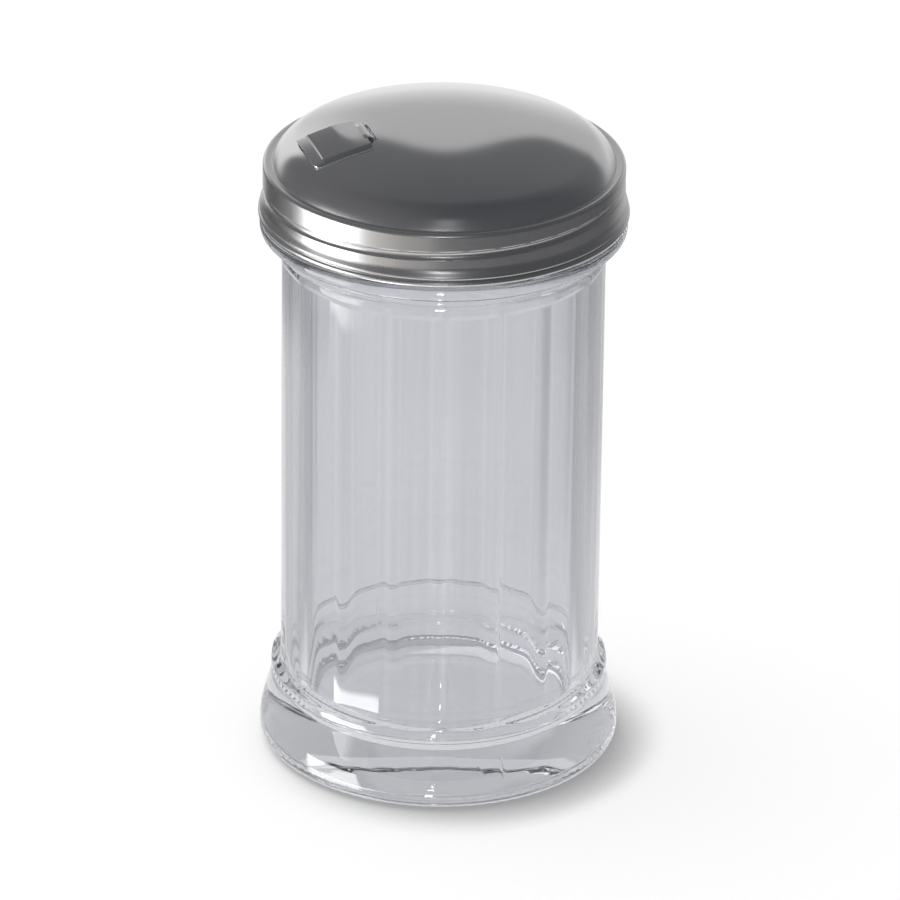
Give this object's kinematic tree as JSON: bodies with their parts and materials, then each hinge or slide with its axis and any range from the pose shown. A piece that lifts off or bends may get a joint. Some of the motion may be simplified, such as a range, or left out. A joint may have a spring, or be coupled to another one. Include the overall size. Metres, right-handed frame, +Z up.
{
  "type": "sugar dispenser",
  "caption": "Table sugar dispenser: panelled glass jar on a flared foot, domed steel screw lid with a hinged pour flap.",
  "frame": {"origin": "centre of the jar's foot, on the surface it stands on", "axes": "+Z up along the jar's centre line; -X is the side it pours from, where the flap is; the flap's hinge runs along Y"},
  "size_m": [0.076, 0.076, 0.14],
  "materials": {
    "glass": "clear pressed glass",
    "lid_steel": "bright polished",
    "flap_steel": "bright polished"
  },
  "bodies": {
    "jar": {"glass_jar": "glass"},
    "lid": {"screw_lid": "lid_steel"},
    "flap": {"pour_flap": "flap_steel"}
  },
  "joints": [
    {"name": "lid_lift", "type": "slide", "parent": "jar", "child": "lid", "axis": [0, 0, 1], "range_m": [0, 0.06]},
    {"name": "flap_hinge", "type": "hinge", "parent": "lid", "child": "flap", "pos_m": [-0.01714, 0, 0.13802], "axis": [0, 1, 0], "range_deg": [0, 70]}
  ]
}
